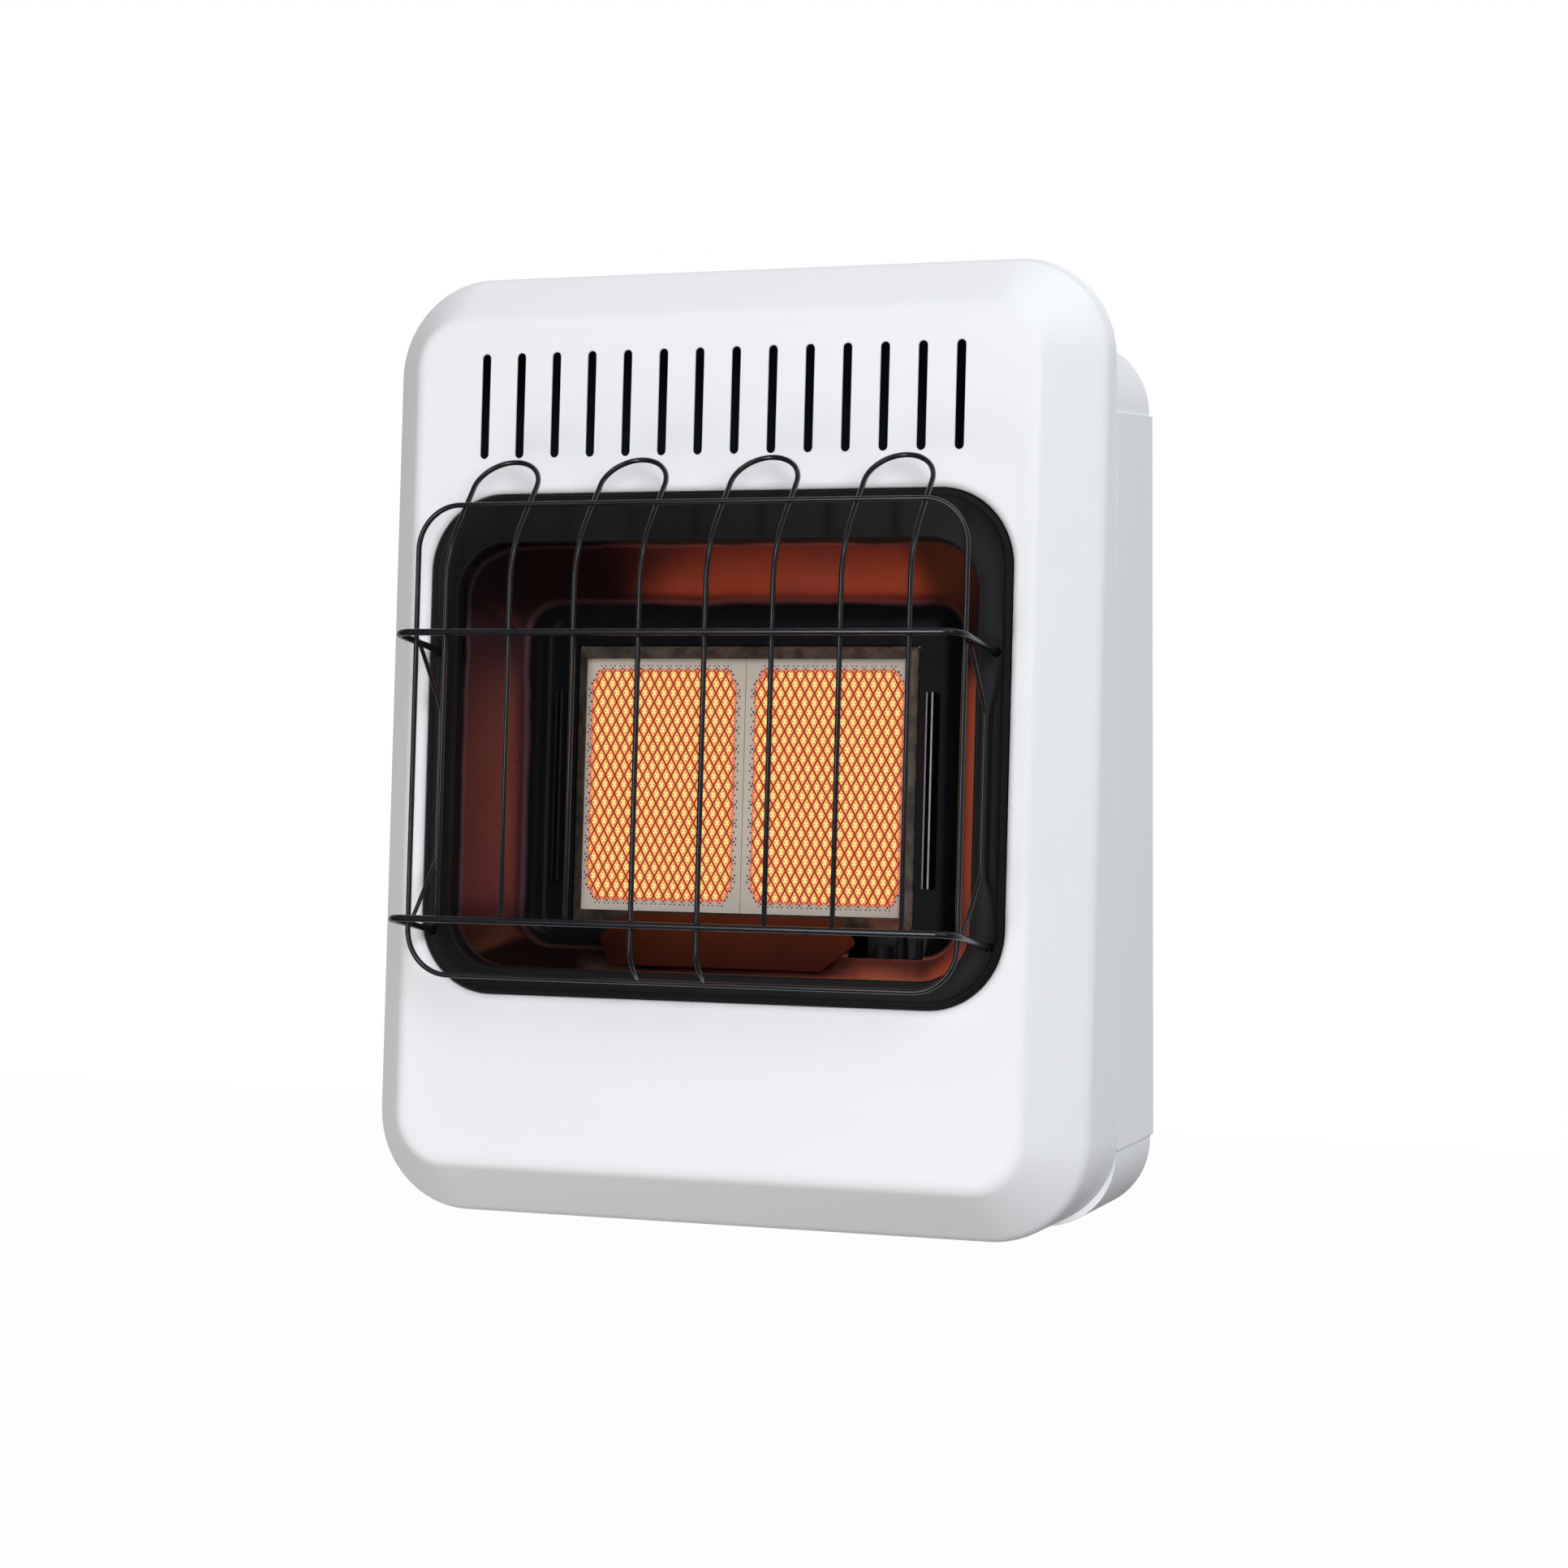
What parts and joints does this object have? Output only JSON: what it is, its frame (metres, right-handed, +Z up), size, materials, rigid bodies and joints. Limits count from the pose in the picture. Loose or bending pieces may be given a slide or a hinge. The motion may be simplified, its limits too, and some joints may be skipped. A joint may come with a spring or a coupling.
{
  "type": "vent-free radiant wall heater",
  "caption": "White wall-hung gas radiant heater with a slotted cover, black wire guard, glowing ceramic tiles, and a push-and-turn knob and igniter button on top.",
  "frame": {"origin": "middle of the wall bracket's back face, on the wall", "axes": "+Z up, -Y out of the wall towards the room, +X to the right of someone who faces the heater"},
  "size_m": [0.3772, 0.1801, 0.4692],
  "materials": {
    "white_paint": "gloss white powder coat",
    "black_paint": "satin black heat paint",
    "black_wire": "semi-gloss black",
    "heated_steel": "bright steel that mirrors the red glow",
    "burner_steel": "pressed stainless",
    "glowing_ceramic": "perforated and glowing",
    "fibre": "soft ceramic fibre",
    "zinc_steel": "galvanised",
    "brass": "turned",
    "aluminium": "satin",
    "black_plastic": "fine texture",
    "white_ceramic": "glazed",
    "spring_steel": "drawn"
  },
  "bodies": {
    "root": {"wall_bracket": "zinc_steel", "case_top": "white_paint", "case_bottom": "white_paint", "side_panel_left": "white_paint", "side_panel_right": "white_paint", "rear_panel": "zinc_steel", "chassis_plate": "zinc_steel", "front_cover": "white_paint", "trim_ring": "black_paint", "reflector_pan": "heated_steel", "burner_strip_left": "burner_steel", "burner_strip_right": "burner_steel", "burner_frame": "burner_steel", "ceramic_tile_left": "glowing_ceramic", "ceramic_tile_right": "glowing_ceramic", "tile_gasket": "fibre", "burner_box": "zinc_steel", "burner_bracket_left": "zinc_steel", "burner_bracket_right": "zinc_steel", "lower_deflector": "heated_steel", "guard_loop": "black_wire", "guard_rail_upper": "black_wire", "guard_rail_lower": "black_wire", "guard_hoop_1": "black_wire", "guard_hoop_2": "black_wire", "guard_hoop_3": "black_wire", "guard_hoop_4": "black_wire", "guard_side_left": "black_wire", "guard_side_right": "black_wire", "heat_shield": "zinc_steel", "gas_valve": "aluminium", "valve_bonnet": "brass", "stem_spring": "spring_steel", "dial_plate": "aluminium", "igniter_body": "black_plastic", "igniter_nut": "aluminium", "inlet_fitting": "brass", "gas_regulator": "aluminium", "regulator_cap": "brass", "supply_pipe": "aluminium", "mixer_tube": "zinc_steel", "injector": "brass", "burner_pipe": "aluminium", "pilot_bracket": "zinc_steel", "pilot_burner": "brass", "thermocouple": "spring_steel", "spark_electrode": "white_ceramic", "pilot_pipe": "aluminium", "thermocouple_lead": "spring_steel", "ignition_lead": "black_plastic", "rear_screw_1": "zinc_steel", "rear_screw_2": "zinc_steel", "rear_screw_3": "zinc_steel", "rear_screw_4": "zinc_steel"},
    "knob_push": {"stem_collar": "brass"},
    "knob": {"valve_stem": "brass", "control_knob": "black_plastic"},
    "igniter_push": {"igniter_button": "black_plastic"}
  },
  "joints": [
    {"name": "knob_push", "type": "slide", "parent": "root", "child": "knob_push", "axis": [0, 0, -1], "range_m": [0, 0.004], "stiffness_N_per_m": 900, "springref_m": -0.006, "deforming": ["stem_spring"]},
    {"name": "knob_turn", "type": "hinge", "parent": "knob_push", "child": "knob", "pos_m": [0.115, -0.031, 0.07], "axis": [0, 0, 1], "range_deg": [0, 180]},
    {"name": "igniter_press", "type": "slide", "parent": "root", "child": "igniter_push", "axis": [0, 0, -1], "range_m": [0, 0.005], "stiffness_N_per_m": 1500, "springref_m": -0.004}
  ]
}
